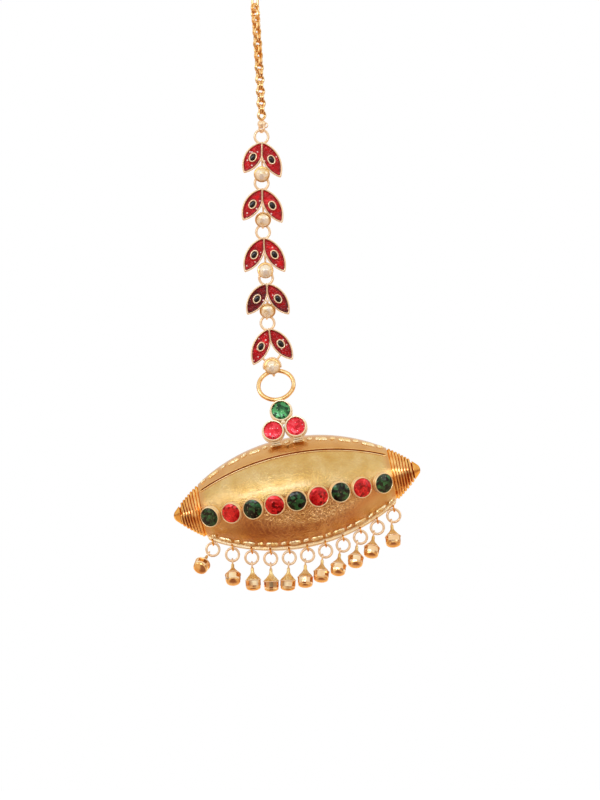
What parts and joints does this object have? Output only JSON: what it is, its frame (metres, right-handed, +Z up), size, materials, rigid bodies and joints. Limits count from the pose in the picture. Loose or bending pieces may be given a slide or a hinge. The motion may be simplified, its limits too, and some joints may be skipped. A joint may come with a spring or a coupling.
{
  "type": "maang tikka",
  "caption": "Forehead jewel: hair hook, fine chain, enamelled leaf links and a spindle drum pendant with stones and bead drops.",
  "frame": {"origin": "inside top of the hair hook's bend, where the jewel hangs", "axes": "+Z up along the hanging chain, -Y the front with the stones, +X the viewer's right"},
  "size_m": [0.0646, 0.0306, 0.1644],
  "materials": {
    "polished_gold": "polished yellow gold plate",
    "satin_gold": "satin, finely hammered yellow gold plate",
    "red_enamel": "glossy red enamel with fine glitter",
    "black_enamel": "glossy black enamel",
    "red_glass": "faceted red glass with foil back",
    "green_glass": "faceted dark green glass with foil back"
  },
  "bodies": {
    "upper": {"hair_hook": "polished_gold", "chain": "polished_gold", "chain_bead": "polished_gold", "leaf_link_1": "polished_gold", "enamel_left_1": "red_enamel", "enamel_right_1": "red_enamel", "eye_dots_1": "black_enamel", "leaf_link_2": "polished_gold", "enamel_left_2": "red_enamel", "enamel_right_2": "red_enamel", "eye_dots_2": "black_enamel", "leaf_link_3": "polished_gold", "enamel_left_3": "red_enamel", "enamel_right_3": "red_enamel", "eye_dots_3": "black_enamel", "leaf_link_4": "polished_gold", "enamel_left_4": "red_enamel", "enamel_right_4": "red_enamel", "eye_dots_4": "black_enamel", "leaf_link_5": "polished_gold", "enamel_left_5": "red_enamel", "enamel_right_5": "red_enamel", "eye_dots_5": "black_enamel"},
    "pendant": {"pendant_frame": "satin_gold", "winding_left": "polished_gold", "winding_right": "polished_gold", "stone_row_1": "green_glass", "stone_row_2": "red_glass", "stone_row_3": "green_glass", "stone_row_4": "red_glass", "stone_row_5": "green_glass", "stone_row_6": "red_glass", "stone_row_7": "green_glass", "stone_row_8": "red_glass", "stone_row_9": "green_glass", "stone_head_green": "green_glass", "stone_head_red_left": "red_glass", "stone_head_red_right": "red_glass", "jump_ring_1": "polished_gold", "drop_1": "polished_gold", "jump_ring_2": "polished_gold", "drop_2": "polished_gold", "jump_ring_3": "polished_gold", "drop_3": "polished_gold", "jump_ring_4": "polished_gold", "drop_4": "polished_gold", "jump_ring_5": "polished_gold", "drop_5": "polished_gold", "jump_ring_6": "polished_gold", "drop_6": "polished_gold", "jump_ring_7": "polished_gold", "drop_7": "polished_gold", "jump_ring_8": "polished_gold", "drop_8": "polished_gold", "jump_ring_9": "polished_gold", "drop_9": "polished_gold", "jump_ring_10": "polished_gold", "drop_10": "polished_gold", "jump_ring_11": "polished_gold", "drop_11": "polished_gold"}
  },
  "joints": [
    {"name": "pendant_swing", "type": "hinge", "parent": "upper", "child": "pendant", "pos_m": [0.00478, 0.0007, -0.10624], "axis": [0.9816, 0, 0.1908], "range_deg": [-75, 75]}
  ]
}
